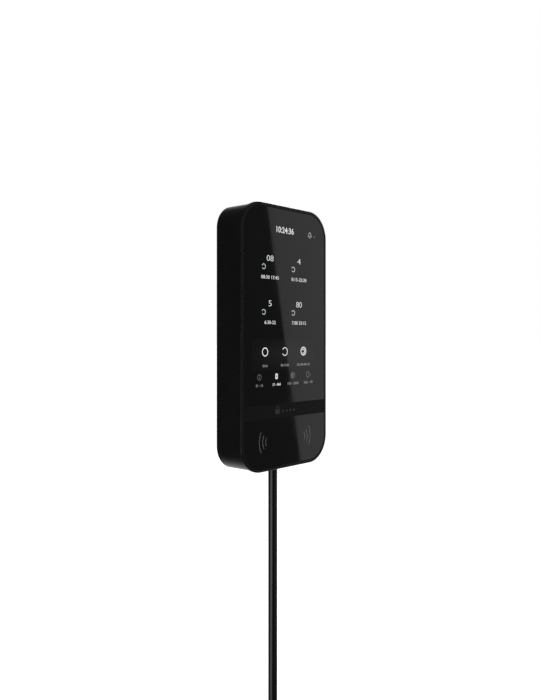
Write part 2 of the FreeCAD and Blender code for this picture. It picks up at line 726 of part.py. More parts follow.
def pocket_places():
    """The squares of the plate's grid that are clear of the holes, the window and the tongue."""
    reach = BACK_POCKET_SIZE / 2 + 1.0
    window_half, window_low, window_high = BRACKET_WINDOW
    blocked = [((-window_half, window_half), (window_low, window_high))]
    blocked.append(((TAMPER_X - 6.5, TAMPER_X + 6.5), (TAMPER_SCREW_Z - 6.5, TAMPER_Z + 4.5)))
    for x in (-WALL_SCREW_X, WALL_SCREW_X):
        for z in (-WALL_SCREW_Z, WALL_SCREW_Z):
            blocked.append(((x, x), (z, z)))
    places = []
    for column in (-2.5, -1.5, -0.5, 0.5, 1.5, 2.5):
        for row in range(-6, 7):
            x = column * BACK_POCKET_PITCH
            z = row * BACK_POCKET_PITCH
            clear = [
                not (xs[0] - reach < x < xs[1] + reach and zs[0] - reach < z < zs[1] + reach)
                for xs, zs in blocked
            ]
            if all(clear):
                places.append((x, z))
    return places


def bracket_pockets():
    """Shallow pockets in the plate's back, which leave a grid of ribs against the wall."""
    half = BACK_POCKET_SIZE / 2
    pocket = block((-half, half), (BRACKET_Y[1] - BACK_POCKET_DEPTH, 1.0), (-half, half))
    corners = [e for e in pocket.Edges if abs(e.tangentAt(e.FirstParameter).y) > 0.9]
    pocket = pocket.makeFillet(1.2, corners)
    return [pocket.translated(Vector(x, 0, z)) for x, z in pocket_places()]


def wall_bracket():
    inset = CASE_WALL + 0.35
    half = BODY_HALF_WIDTH - inset
    z = (CASE_FLOOR_Z + KEYPAD_LIFT + 0.35, BODY_HALF_HEIGHT - inset)
    radius = BODY_CORNER_RADIUS - inset
    plate = slab(half, z, radius, BRACKET_Y)
    rim = slab(half, z, radius, (BRACKET_Y[0] - 1.5, BRACKET_Y[0]))
    rim = rim.cut(slab(half - 1.2, (z[0] + 1.2, z[1] - 1.2), radius - 1.2, (-5, 0)))
    rim = rim.cut(block((-half, half), (-5, 0), (z[0] - 1, -50.0)))

    # a fork with a tab that the lock screw passes through
    fork_x = (LOCK_X - 3.8, LOCK_X + 3.8)
    fork = block(fork_x, BRACKET_Y, (LOCK_TAB_Z[0], z[0] + 1.0))
    tab = block(fork_x, (-6.7, BRACKET_Y[1]), LOCK_TAB_Z)
    hooks = [bracket_hook(side * HOOK_X, top) for side in (-1, 1) for top in HOOK_TOPS_Z]

    window_half, window_low, window_high = BRACKET_WINDOW
    window = slab(window_half, (window_low, window_high), 3.0, (-3, 1))
    cuts = [window]
    cuts += [wall_hole(sx * WALL_SCREW_X, sz * WALL_SCREW_Z) for sx in (-1, 1) for sz in (-1, 1)]
    cuts.append(wall_hole(TAMPER_X, TAMPER_SCREW_Z))
    cuts += tamper_tongue_slots()
    cuts += bracket_pockets()
    shank_radius = LOCK_SHANK_RADIUS + RUNNING_GAP
    cuts.append(rod_z(LOCK_X, LOCK_Y, shank_radius, (LOCK_TAB_Z[0], LOCK_TAB_Z[1] + 1)))
    cuts.append(rod_z(LOCK_X, LOCK_Y, 2.3, (LOCK_TAB_Z[0], LOCK_TAB_Z[0] + 1.5)))
    return without(joined(plate, rim, fork, tab, *hooks), *cuts)


def lock_screw():
    one = screw(LOCK_SHANK_RADIUS, 6.6, 2.2, 1.3)
    place = Vector(LOCK_X, LOCK_Y, LOCK_TAB_Z[0] + 1.5 - RUNNING_GAP)
    return facing(one, place, Vector(0, 0, -1))


# --------------------------------------------------------- hanging cable
def cable_lead():
    """The lead from the keypad down to where it joins the coil at its upper right."""
    line = [
        Vector(0, CABLE_Y, EXIT_Z),
        Vector(0, CABLE_Y, LEAD_BEND_Z),
        Vector(LEAD_JOIN, CABLE_Y, COIL_CENTRE_Z + LEAD_JOIN),
    ]
    return tube(line, CABLE_RADIUS, "cable_lead")


def cable_coil():
    """The outer shape of the wound turns, a thick ring flat to the wall."""
    half_wide = COIL_TURNS_WIDE * CABLE_RADIUS
    half_deep = COIL_TURNS_DEEP * CABLE_RADIUS
    y = (CABLE_Y - half_deep, CABLE_Y + half_deep)
    outer = rod_y(0, COIL_CENTRE_Z, COIL_MEAN_RADIUS + half_wide, y)
    ring = outer.cut(rod_y(0, COIL_CENTRE_Z, COIL_MEAN_RADIUS - half_wide, y))
    # The cable winds from the lead's join to three o'clock, where the last turn ends.
    turns = COIL_TURNS_WIDE * COIL_TURNS_DEEP - 1 + LEAD_JOIN_ANGLE / 360.0
    print("cable_coil length", round(2 * math.pi * COIL_MEAN_RADIUS * turns, 1))
    return ease(ease(ring, 2.4, y[0]), 2.4, y[1])


def cable_tail():
    return rod_z(COIL_OUTER_LINE, TAIL_Y, CABLE_RADIUS, (TAIL_END_Z, COIL_CENTRE_Z))


def cable_tie():
    """A strap round the coil at its right side, with its ratchet head outside."""
    half_wide = COIL_TURNS_WIDE * CABLE_RADIUS + 0.25
    half_deep = COIL_TURNS_DEEP * CABLE_RADIUS + 0.05
    z = (COIL_CENTRE_Z - 2.2, COIL_CENTRE_Z + 2.2)
    centre = COIL_MEAN_RADIUS
    loops = []
    for grow in (1.1, 0.0):
        x = (centre - half_wide - grow, centre + half_wide + grow)
        y = (CABLE_Y - half_deep - grow, CABLE_Y + half_deep + grow)
        loop = block(x, y, z)
        upright = [e for e in loop.Edges if abs(e.tangentAt(e.FirstParameter).z) > 0.9]
        loops.append(loop.makeFillet(2.0 + grow, upright))
    outside = centre + half_wide + 1.1
    head = block((outside - 0.4, outside + 3.4), (CABLE_Y - 3, CABLE_Y + 3), (z[0] - 0.8, z[1] + 0.8))
    return without(joined(loops[0], head), loops[1])


PLUG_HEIGHT = 13.0
SLEEVE_LENGTH = 11.0


def plug_sleeve():
    """A tapered strain relief above the plug."""
    base = Vector(COIL_OUTER_LINE, TAIL_Y, TAIL_END_Z)
    cone = Part.makeCone(3.9, 3.1, SLEEVE_LENGTH, base, Vector(0, 0, 1))
    high = TAIL_END_Z + SLEEVE_LENGTH
    return cone.cut(rod_z(COIL_OUTER_LINE, TAIL_Y, CABLE_RADIUS, (TAIL_END_Z, high)))


def plug_body():
    """A four-way screw-terminal plug, its sockets facing down."""
    low = TAIL_END_Z - PLUG_HEIGHT
    x = (COIL_OUTER_LINE - 8.0, COIL_OUTER_LINE + 8.0)
    y = (TAIL_Y - 4.4, TAIL_Y + 3.8)
    body = ease(ease(block(x, y, (low, TAIL_END_Z)), 0.5, y[0]), 0.5, y[1])
    cuts = []
    for offset in TERMINAL_XS:
        at = COIL_OUTER_LINE + offset
        cuts.append(block((at - 1.1, at + 1.1), (TAIL_Y - 1.6, TAIL_Y + 1.6), (low, low + 6.0)))
        cuts.append(rod_y(at, low + 9.0, 1.3, (y[0], y[0] + 1.9)))

    # grooves on the back between the four ways
    for offset in (-3.5, 0.0, 3.5):
        at = COIL_OUTER_LINE + offset
        cuts.append(block((at - 0.3, at + 0.3), (y[1] - 0.6, y[1] + 1), (low, TAIL_END_Z)))
    return without(body, *cuts)


def plug_screws():
    one = screw(0.7, 0.4, 1.2, 1.2, slotted=True)
    floor_y = TAIL_Y - 4.4 + 1.9
    place_z = TAIL_END_Z - PLUG_HEIGHT + 9.0
    head = one.common(block((-2, 2), (-2, 2), (0.0, 2.0)))
    places = [Vector(COIL_OUTER_LINE + offset, floor_y, place_z) for offset in TERMINAL_XS]
    return [facing(head, place, Vector(0, -1, 0)) for place in places]


def main():
    os.makedirs("parts", exist_ok=True)
    save("front_frame", front_frame())
    save("display_glass", display_glass())
    save("reader_glass", reader_glass())
    save("centre_band", centre_band())
    save("glass_tape", *glass_tape())
    save("touch_sensor", touch_sensor())
    save("display_panel", display_panel())
    save("backlight", backlight())
    save("display_tape", *display_tape())
    save("display_ribbon", display_ribbon())
    save("touch_ribbon", touch_ribbon())
    save("display_carrier", display_carrier())
    save("carrier_screws", *carrier_screws())
    save("main_board", main_board())
    save("board_screws", *board_screws())
    save("shield_can", shield_can())
    save("board_chips", *board_chips())
    save("ribbon_sockets", *ribbon_sockets())
    save("buzzer", buzzer())
    save("antenna_board", antenna_board())
    save("antenna_coil", *antenna_coil())
    save("ferrite_sheet", ferrite_sheet())
    save("antenna_pins", *antenna_pins())
    save("terminal_block", terminal_block())
    save("terminal_screws", *terminal_screws())
    save("cable_grommet", cable_grommet())
    save("clamp_cradle", clamp_cradle())
    save("cable_clamp", cable_clamp())
    save("clamp_screws", *clamp_screws())
    save("cable_sheath", cable_sheath())
    save("wire_cores", *wire_cores())
    save("tamper_switch", tamper_switch())
    save("tamper_plunger", tamper_plunger())
    save("tamper_spring", tamper_spring())
    save("rear_housing", rear_housing())
    save("screw_inserts", *screw_inserts())
    save("housing_screws", *housing_screws())
    save("id_label", id_label())
    save("wall_bracket", wall_bracket())
    save("lock_screw", lock_screw())
    save("cable_lead", cable_lead())
    save("cable_coil", cable_coil())
    save("cable_tail", cable_tail())
    save("cable_tie", cable_tie())
    save("plug_sleeve", plug_sleeve())
    save("plug_body", plug_body())
    save("plug_screws", *plug_screws())


main()
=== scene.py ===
import json
import math

import bmesh
import bpy
from mathutils import Matrix, Vector


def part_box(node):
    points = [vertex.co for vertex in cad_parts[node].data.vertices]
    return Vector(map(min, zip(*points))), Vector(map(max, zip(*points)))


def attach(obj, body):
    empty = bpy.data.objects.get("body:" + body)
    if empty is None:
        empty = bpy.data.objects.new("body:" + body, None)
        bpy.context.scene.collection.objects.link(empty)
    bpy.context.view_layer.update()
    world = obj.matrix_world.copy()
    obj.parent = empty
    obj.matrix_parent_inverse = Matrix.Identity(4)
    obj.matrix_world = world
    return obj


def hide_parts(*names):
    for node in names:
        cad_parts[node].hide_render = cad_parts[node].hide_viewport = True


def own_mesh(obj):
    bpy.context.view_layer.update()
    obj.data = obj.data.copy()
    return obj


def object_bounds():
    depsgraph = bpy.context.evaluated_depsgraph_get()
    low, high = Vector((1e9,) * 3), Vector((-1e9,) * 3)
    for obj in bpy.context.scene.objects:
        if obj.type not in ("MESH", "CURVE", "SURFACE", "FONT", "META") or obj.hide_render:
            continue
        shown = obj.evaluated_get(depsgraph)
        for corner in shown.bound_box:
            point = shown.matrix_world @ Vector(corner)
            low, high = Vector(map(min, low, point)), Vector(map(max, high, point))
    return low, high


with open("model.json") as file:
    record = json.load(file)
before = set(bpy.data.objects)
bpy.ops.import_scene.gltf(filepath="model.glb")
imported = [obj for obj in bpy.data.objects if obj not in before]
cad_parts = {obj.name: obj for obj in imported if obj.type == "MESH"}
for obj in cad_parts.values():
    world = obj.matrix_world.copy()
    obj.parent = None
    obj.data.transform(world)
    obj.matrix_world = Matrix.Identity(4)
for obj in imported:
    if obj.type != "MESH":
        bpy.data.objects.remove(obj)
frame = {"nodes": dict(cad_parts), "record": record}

# Looks of an upright wall-mounted alarm keypad with a lit touch screen.
# Lengths are in metres in the frame's axes: +X right, +Y into the wall, +Z up.

MM = 0.001
CAD_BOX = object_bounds()
NODES = frame["nodes"]

# ------------------------------------------------------------------ sizes
GLASS_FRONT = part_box("display_glass")[0].y
BAND_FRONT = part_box("centre_band")[0].y
FLOOR_GAP = 24 * MM
FLOOR_RADIUS = 30.0
INK = 0.05 * MM
INK_LIFT = 0.02 * MM
GRAIN_DEPTH = 0.012 * MM

# Colours and shine of the materials
REFRACTION = 1.5
MOULDED_SHINE = 0.33
BAND_SHINE = 0.24
GLASS_BLACK = (0.0135, 0.0135, 0.014)
LIT_WHITE = (0.9, 0.91, 0.93)
READER_INK = (0.34, 0.34, 0.35)
BAND_INK = (0.09, 0.09, 0.093)
CORE_COLOURS = ((0.55, 0.03, 0.03), (0.02, 0.02, 0.02), (0.03, 0.3, 0.07), (0.7, 0.5, 0.03))

# A digit's height as a share of the font's size, then the styles of the digits:
# height in millimetres, and how much bolder than the font
DIGIT_SHARE_OF_SIZE = 0.69
CLOCK_STYLE = (3.3, 0.06)
AREA_STYLE = (3.3, -0.05)
AREA_HOURS_STYLE = (1.9, 0.01)
MODE_HOURS_STYLE = (1.25, 0.04)
TAB_RANGE_STYLE = (1.4, 0.04)

# Rings and arcs of the lit screen: radius and line width, in millimetres
STATUS_RING = (1.38, 0.29)
FULL_MODE_RING = (2.24, 0.47)
PART_MODE_RING = (2.25, 0.38)
NIGHT_MODE_RING = (2.26, 0.52)
NIGHT_MODE_ARC = (1.1, 0.45)
INFO_RING = (1.55, 0.33)
HALF_RING = (1.75, 0.35)
HALF_RING_ARC = (0.9, 0.4)

# Layout of the lit screen, in millimetres from its own middle. Each text is given with its width,
# and the panel by its left, right, lower and upper edge.
SCREEN_MIDDLE = -1.45
CLOCK_AT = (-0.1, 59.6)
CLOCK_WIDTH = 15.2
BELL_AT = (22.9, 61.3)
BELL_RADIUS = 1.2
BELL_FOOT = 1.6
BELL_LINE = 0.42
COLUMN_X = 12.75
GROUP_ROWS = (44.3, 19.0)
GROUP_NUMBER_DROP = 1.7
GROUP_RING_SHIFT = (-5.35, -5.0)
GROUP_HOURS_DROP = 11.7
AREA_NUMBERS = ((("08", 5.6), ("4", 3.0)), (("5", 2.5), ("80", 5.1)))
AREA_HOURS = ((("08:30 17:45", 14.8), ("8:15-22:30", 13.7)), (("6:30-22", 9.4), ("7:00 23:15", 12.9)))
MODE_XS = (-17.0, -0.1, 16.8)
MODE_Z = -8.3
MODE_HOURS_Z = -16.7
MODE_HOURS = (("00-24", 4.1), ("08-17:30", 7.1), ("22:30-06:15", 12.0))
MODE_PANEL = (-28.0, 27.0, -18.8, -0.9)
TAB_XS = (-21.7, -7.3, 7.1, 21.4)
TAB_Z = -22.2
TAB_RANGE_Z = -27.5
TAB_RANGES = (("01 - 16", 5.7), ("17 - 064", 6.7), ("100 - 2000", 9.7), ("065 - 99", 8.1))

# Marks printed on the reader's glass and on the strip, in the same millimetres. Each of the
# reader's arcs is given by its tip, half its height and its bulge.
READER_MARK_X = 0.7
READER_MARK_Z = -58.4
READER_LINE = 0.6
READER_ARCS = ((22.4, 5.4, 1.3), (19.7, 3.5, 1.0), (17.2, 2.1, 0.6))
BAND_MARK_Z = -43.6
BAND_DOT_PITCH = 3.2

# Cable: the route repeats the route of its CAD solids
CABLE_RADIUS = 2.7 * MM
CABLE_Y = -9.5 * MM
EXIT = (0.0, CABLE_Y, -74.85 * MM)
LEAD_BEND = (0.0, CABLE_Y, -229.98 * MM)
LEAD_STRAIGHT_END = (0.0, CABLE_Y, -199.28 * MM)
COIL_CENTRE_Z = -273.4 * MM
COIL_MEAN_RADIUS = 28.0 * MM
JOIN_ANGLE = 45.0
LEAD_JOIN = (21.708 * MM, CABLE_Y, -251.692 * MM)
TAIL_START_Z = COIL_CENTRE_Z - 4.0 * MM
TAIL_END_Z = -307.9 * MM

# Degrees from the start of the last full turn to its change of place, and over any change
FIRST_CHANGE = 50.0
CHANGE_ANGLE = 60.0

# Tamper plunger's spring: its wire's radius, all its turns, and the closed turns at each end
SPRING_WIRE = 0.13 * MM
SPRING_TURNS = 3
SPRING_END_TURNS = 0.75

# Camera and the card that the glass mirrors, with their angles in degrees
CAMERA_AT = (-0.3153, -0.2880, 0.0)
CAMERA_TURN = -48.33
CAMERA_LENS = 36.97
CAMERA_SHIFT = -0.01847
CARD_X = 0.9826
CARD_LEAN = 11.24

# Direction of the room's bright side, and the room's darkest and brightest light
BRIGHT_SIDE = (0.72, 0.64, -0.27)
ROOM_DARK = (0.07, 0.07, 0.071)
ROOM_BRIGHT = (0.9, 0.9, 0.9)


# -------------------------------------------------------- material nodes
def add(tree, kind, **settings):
    """A new node, with its named properties and its inputs' plain values set."""
    node = tree.nodes.new(kind)
    for key, value in settings.items():
        if hasattr(node, key):
            setattr(node, key, value)
        else:
            node.inputs[key.replace("_", " ").title()].default_value = value
    return node


def start(name, colour, roughness, metallic=0.0):
    """A new material with one Principled shader, and its tree and shader."""
    made = bpy.data.materials.new(name)
    made.use_nodes = True
    tree = made.node_tree
    shader = tree.nodes["Principled BSDF"]
    shader.inputs["Base Color"].default_value = (*colour, 1.0)
    shader.inputs["Roughness"].default_value = roughness
    shader.inputs["Metallic"].default_value = metallic
    shader.inputs["IOR"].default_value = REFRACTION
    return made, tree, shader


def place(tree, stretch=(1.0, 1.0, 1.0)):
    """The piece's own coordinates, in metres, scaled along each axis."""
    where = tree.nodes.new("ShaderNodeTexCoord")
    scaled = tree.nodes.new("ShaderNodeMapping")
    scaled.inputs["Scale"].default_value = stretch
    tree.links.new(where.outputs["Object"], scaled.inputs["Vector"])
    return scaled.outputs["Vector"]


def noise(tree, vector, size, detail=2.0, rough=0.5):
    """Cloudy noise whose features are about the given size in metres."""
    node = add(tree, "ShaderNodeTexNoise", scale=1.0 / size, detail=detail, roughness=rough)
    tree.links.new(vector, node.inputs["Vector"])
    return node.outputs["Fac"]


def pits(tree, vector, size):
    """Rounded cells of about the given size in metres."""
    node = add(tree, "ShaderNodeTexVoronoi", feature="SMOOTH_F1", scale=1.0 / size)
    tree.links.new(vector, node.inputs["Vector"])
    return node.outputs["Distance"]


def shaded(tree, factor, low, high, start_at=0.0, end_at=1.0):
    """A colour that runs from low to high with the factor."""
    ramp = tree.nodes.new("ShaderNodeValToRGB")
    ramp.color_ramp.elements[0].position = start_at
    ramp.color_ramp.elements[0].color = (*low, 1.0)
    ramp.color_ramp.elements[1].position = end_at
    ramp.color_ramp.elements[1].color = (*high, 1.0)
    tree.links.new(factor, ramp.inputs["Fac"])
    return ramp.outputs["Color"]


def tint(tree, shader, factor, low, high, start_at=0.3, end_at=0.7):
    """The base colour runs from low to high with the factor."""
    colour = shaded(tree, factor, low, high, start_at, end_at)
    tree.links.new(colour, shader.inputs["Base Color"])


def darker(colour, share):
    """The colour times the share."""
    return tuple(part * share for part in colour)


def dull(tree, shader, factor, low, high):
    """The roughness runs from low to high with the factor."""
    ranged = tree.nodes.new("ShaderNodeMapRange")
    ranged.inputs["From Min"].default_value = 0.3
    ranged.inputs["From Max"].default_value = 0.7
    ranged.inputs["To Min"].default_value = low
    ranged.inputs["To Max"].default_value = high
    tree.links.new(factor, ranged.inputs["Value"])
    tree.links.new(ranged.outputs["Result"], shader.inputs["Roughness"])


def emboss(tree, shader, height, depth):
    """Bump of the given depth in metres."""
    bump = tree.nodes.new("ShaderNodeBump")
    bump.inputs["Distance"].default_value = depth
    bump.inputs["Strength"].default_value = 1.0
    tree.links.new(height, bump.inputs["Height"])
    tree.links.new(bump.outputs["Normal"], shader.inputs["Normal"])


def mixed(tree, first, second, share=0.5):
    """Two heights or factors blended into one."""
    mix = tree.nodes.new("ShaderNodeMix")
    mix.inputs["Factor"].default_value = share
    tree.links.new(first, mix.inputs["A"])
    tree.links.new(second, mix.inputs["B"])
    return mix.outputs["Result"]


def front_grid(tree, size, mortar, offset):
    """Lines between cells of about the given size in metres, on the faces that look along Y."""
    grid = add(tree, "ShaderNodeTexBrick", scale=1.0 / size, mortar_size=mortar, offset=offset)
    turned = tree.nodes.new("ShaderNodeMapping")
    turned.inputs["Rotation"].default_value = (math.radians(90.0), 0.0, 0.0)
    tree.links.new(place(tree), turned.inputs["Vector"])
    tree.links.new(turned.outputs["Vector"], grid.inputs["Vector"])
    return grid.outputs["Fac"]


# -------------------------------------------------------------- materials
def moulded(name, dark, light, rough, grain=0.22 * MM):
    """Injection-moulded plastic with a fine spark-eroded grain."""
    made, tree, shader = start(name, dark, rough[0])
    where = place(tree)
    clouds = noise(tree, where, 14 * MM, 4.0)
    texture = mixed(tree, pits(tree, where, grain), noise(tree, where, grain * 2.5, 3.0), 0.4)
    tint(tree, shader, clouds, dark, light)
    dull(tree, shader, noise(tree, where, 5 * MM, 5.0), *rough)
    emboss(tree, shader, texture, GRAIN_DEPTH)
    shader.inputs["Specular IOR Level"].default_value = MOULDED_SHINE
    return made


def polished(tree, shader):
    """The cover glass's polish, with faint wiped smears."""
    smears = noise(tree, place(tree, (1.0, 1.0, 0.35)), 9 * MM, 5.0, 0.62)
    dull(tree, shader, smears, 0.02, 0.055)


def polished_glass(name):
    """Cover glass printed black behind."""
    made, tree, shader = start(name, GLASS_BLACK, 0.03)
    clouds = noise(tree, place(tree), 30 * MM, 2.0)
    tint(tree, shader, clouds, darker(GLASS_BLACK, 0.85), GLASS_BLACK)
    polished(tree, shader)
    return made


def brushed_strip():
    """Matte strip with a fine crosswise brushing."""
    made, tree, shader = start("band_plastic", (0.006, 0.006, 0.006), 0.48)
    lines = noise(tree, place(tree, (0.04, 1.0, 1.0)), 0.12 * MM, 3.0)
    tint(tree, shader, lines, (0.004, 0.004, 0.004), (0.008, 0.008, 0.008))
    dull(tree, shader, lines, 0.42, 0.54)
    emboss(tree, shader, lines, 0.006 * MM)
    shader.inputs["Specular IOR Level"].default_value = BAND_SHINE
    return made


def foam_tape():
    """Black closed-cell foam tape."""
    made, tree, shader = start("tape", (0.012, 0.012, 0.012), 0.9)
    cells = pits(tree, place(tree), 0.18 * MM)
    tint(tree, shader, cells, (0.006, 0.006, 0.006), (0.02, 0.02, 0.02), 0.1, 0.6)
    emboss(tree, shader, cells, 0.05 * MM)
    return made


def touch_film():
    """Clear film over its fine sensing grid."""
    made, tree, shader = start("touch_film", (0.03, 0.03, 0.035), 0.12)
    grid = front_grid(tree, 5 * MM, mortar=0.01, offset=0.0)
    tint(tree, shader, grid, (0.02, 0.02, 0.022), (0.05, 0.05, 0.056))
    dull(tree, shader, noise(tree, place(tree), 8 * MM, 3.0), 0.08, 0.16)
    return made


def screen_face():
    """The display module's dark face."""
    made, tree, shader = start("screen", (0.008, 0.008, 0.01), 0.2)
    clouds = noise(tree, place(tree), 20 * MM, 3.0)
    tint(tree, shader, clouds, (0.006, 0.006, 0.008), (0.011, 0.011, 0.013))
    dull(tree, shader, clouds, 0.15, 0.25)
    return made


def stamped_sheet(name, colour, rough, grain):
    """Sheet or plated metal with rolling lines and fine scratches."""
    made, tree, shader = start(name, colour, rough[0], metallic=1.0)
    rolled = noise(tree, place(tree, (1.0, 1.0, 0.05)), grain, 4.0, 0.6)
    clouds = noise(tree, place(tree), 6 * MM, 4.0)
    tint(tree, shader, clouds, darker(colour, 0.82), colour)
    dull(tree, shader, mixed(tree, rolled, clouds), *rough)
    emboss(tree, shader, rolled, 0.004 * MM)
    return made


def cast_metal():
    """Die-cast alloy with a bead-blasted skin."""
    made, tree, shader = start("carrier_metal", (0.5, 0.51, 0.53), 0.5, metallic=1.0)
    where = place(tree)
    beads = pits(tree, where, 0.25 * MM)
    tint(tree, shader, noise(tree, where, 9 * MM, 4.0), (0.42, 0.43, 0.45), (0.58, 0.59, 0.61))
    dull(tree, shader, noise(tree, where, 3 * MM, 4.0), 0.42, 0.6)
    emboss(tree, shader, beads, 0.03 * MM)
    return made


def flex_film():
    """Amber polyimide with copper tracks showing through."""
    made, tree, shader = start("flex_circuit", (0.42, 0.19, 0.045), 0.3)
    wave = add(tree, "ShaderNodeTexWave", scale=1.0 / (4 * MM), distortion=0.0)
    tree.links.new(place(tree), wave.inputs["Vector"])
    tint(tree, shader, wave.outputs["Fac"], (0.3, 0.11, 0.02), (0.55, 0.27, 0.07))
    dull(tree, shader, noise(tree, place(tree), 2 * MM, 3.0), 0.22, 0.38)
    return made


def turned_steel():
    """Zinc-plated screws, turned round their own ends."""
    made, tree, shader = start("screw_steel", (0.62, 0.62, 0.63), 0.28, metallic=1.0)
    where = place(tree)
    patches = noise(tree, where, 1.2 * MM, 4.0)
    tint(tree, shader, patches, (0.5, 0.5, 0.48), (0.68, 0.69, 0.72))
    dull(tree, shader, noise(tree, where, 0.35 * MM, 3.0), 0.2, 0.4)
    emboss(tree, shader, noise(tree, where, 0.15 * MM, 2.0), 0.006 * MM)
    return made


def solder_mask():
    """Green solder mask over routed copper."""
    made, tree, shader = start("circuit_board", (0.02, 0.12, 0.05), 0.32)
    tracks = front_grid(tree, 2.2 * MM, mortar=0.12, offset=0.5)
    tint(tree, shader, tracks, (0.012, 0.085, 0.035), (0.03, 0.17, 0.07))
    dull(tree, shader, noise(tree, place(tree), 4 * MM, 3.0), 0.26, 0.4)
    emboss(tree, shader, tracks, 0.02 * MM)
    return made


def ferrite_sheet():
    """Dull dark ferrite, diced into fine tiles."""
    made, tree, shader = start("ferrite", (0.07, 0.07, 0.075), 0.7)
    tiles = pits(tree, place(tree), 1.6 * MM)
    tint(tree, shader, tiles, (0.05, 0.05, 0.052), (0.09, 0.09, 0.095), 0.2, 0.6)
    dull(tree, shader, noise(tree, place(tree), 3 * MM, 3.0), 0.6, 0.8)
    emboss(tree, shader, tiles, 0.01 * MM)
    return made


def rubber(name):
    """Moulded rubber, dusty and slightly uneven."""
    made, tree, shader = start(name, (0.014, 0.014, 0.014), 0.75)
    where = place(tree)
    tint(tree, shader, noise(tree, where, 3 * MM, 4.0), (0.01, 0.01, 0.01), (0.02, 0.02, 0.02))
    dull(tree, shader, noise(tree, where, 1 * MM, 4.0), 0.66, 0.85)
    emboss(tree, shader, noise(tree, where, 0.2 * MM, 3.0), 0.01 * MM)
    return made


def cable_jacket():
    """Black PVC jacket: smooth along its length, faintly rippled round it."""
    made, tree, shader = start("cable_jacket", (0.008, 0.008, 0.009), 0.22)
    where = place(tree)
    ripple = noise(tree, where, 1.6 * MM, 3.0)
    tint(tree, shader, noise(tree, where, 8 * MM, 3.0), (0.007, 0.007, 0.008), (0.011, 0.011, 0.012))
    dull(tree, shader, noise(tree, where, 2.5 * MM, 4.0), 0.14, 0.22)
    emboss(tree, shader, ripple, 0.01 * MM)
    return made


def wire_insulation():
    """Four cores side by side: red, black, green and yellow."""
    made, tree, shader = start("wire_insulation", (0.5, 0.05, 0.04), 0.35)
    low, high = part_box("wire_cores")
    split = tree.nodes.new("ShaderNodeSeparateXYZ")
    tree.links.new(place(tree), split.inputs["Vector"])
    across = tree.nodes.new("ShaderNodeMapRange")
    across.inputs["From Min"].default_value = low.x
    across.inputs["From Max"].default_value = high.x
    tree.links.new(split.outputs["X"], across.inputs["Value"])
    ramp = tree.nodes.new("ShaderNodeValToRGB")
    ramp.color_ramp.interpolation = "CONSTANT"
    bands = ramp.color_ramp.elements
    bands.remove(bands[1])
    bands[0].color = (*CORE_COLOURS[0], 1.0)
    for i, colour in enumerate(CORE_COLOURS[1:], start=1):
        bands.new(i / len(CORE_COLOURS)).color = (*colour, 1.0)
    tree.links.new(across.outputs["Result"], ramp.inputs["Fac"])
    tree.links.new(ramp.outputs["Color"], shader.inputs["Base Color"])
    dull(tree, shader, noise(tree, place(tree), 2 * MM, 3.0), 0.28, 0.45)
    return made


def blank_label():
    """Blank satin paper."""
    made, tree, shader = start("label", (0.72, 0.72, 0.71), 0.55)
    fibres = noise(tree, place(tree, (1.0, 1.0, 0.4)), 0.3 * MM, 4.0)
    tint(tree, shader, fibres, (0.66, 0.66, 0.65), (0.76, 0.76, 0.75))
    dull(tree, shader, fibres, 0.48, 0.62)
    emboss(tree, shader, fibres, 0.004 * MM)
    return made


def lit(name, colour, strength):
    """A lit part of the screen seen through the glass, slightly uneven like a real backlight."""
    made, tree, shader = start(name, GLASS_BLACK, 0.03)
    shader.inputs["Emission Strength"].default_value = strength
    glow = shaded(tree, noise(tree, place(tree), 12 * MM, 1.0), darker(colour, 0.92), colour)
    tree.links.new(glow, shader.inputs["Emission Color"])
    polished(tree, shader)
    return made


def panel_glow():
    """Glass over a faintly lit panel, brightest at the panel's middle."""
    made, tree, shader = start("panel_glow", GLASS_BLACK, 0.03)
    x0, x1, z0, z1 = MODE_PANEL
    middle = ((x0 + x1) / 2 + SCREEN_MIDDLE, 0.0, (z0 + z1) / 2)
    centred = add(tree, "ShaderNodeVectorMath", operation="SUBTRACT")
    centred.inputs[1].default_value = tuple(c * MM for c in middle)
    tree.links.new(place(tree), centred.inputs[0])
    scaled = tree.nodes.new("ShaderNodeMapping")
    reach = 1.9
    scaled.inputs["Scale"].default_value = (reach / ((x1 - x0) * MM), 0.0, reach / ((z1 - z0) * MM))
    tree.links.new(centred.outputs["Vector"], scaled.inputs["Vector"])
    ball = add(tree, "ShaderNodeTexGradient", gradient_type="SPHERICAL")
    tree.links.new(scaled.outputs["Vector"], ball.inputs["Vector"])
    glow = shaded(tree, ball.outputs["Fac"], (0.0012, 0.0011, 0.0012), (0.0085, 0.0078, 0.0082))
    tree.links.new(glow, shader.inputs["Emission Color"])
    shader.inputs["Emission Strength"].default_value = 1.0
    polished(tree, shader)
    return made


def ink_behind_glass():
    """Grey printing on the back of the cover glass."""
    made, tree, shader = start("reader_ink", READER_INK, 0.03)
    grains = noise(tree, place(tree), 0.2 * MM, 3.0)
    tint(tree, shader, grains, darker(READER_INK, 0.85), READER_INK)
    polished(tree, shader)
    return made


def ink_on_band():
    """Grey printing on the matte strip."""
    made, tree, shader = start("band_ink", BAND_INK, 0.5)
    grains = noise(tree, place(tree), 0.2 * MM, 3.0)
    tint(tree, shader, grains, darker(BAND_INK, 0.85), BAND_INK)
    dull(tree, shader, grains, 0.42, 0.58)
    return made


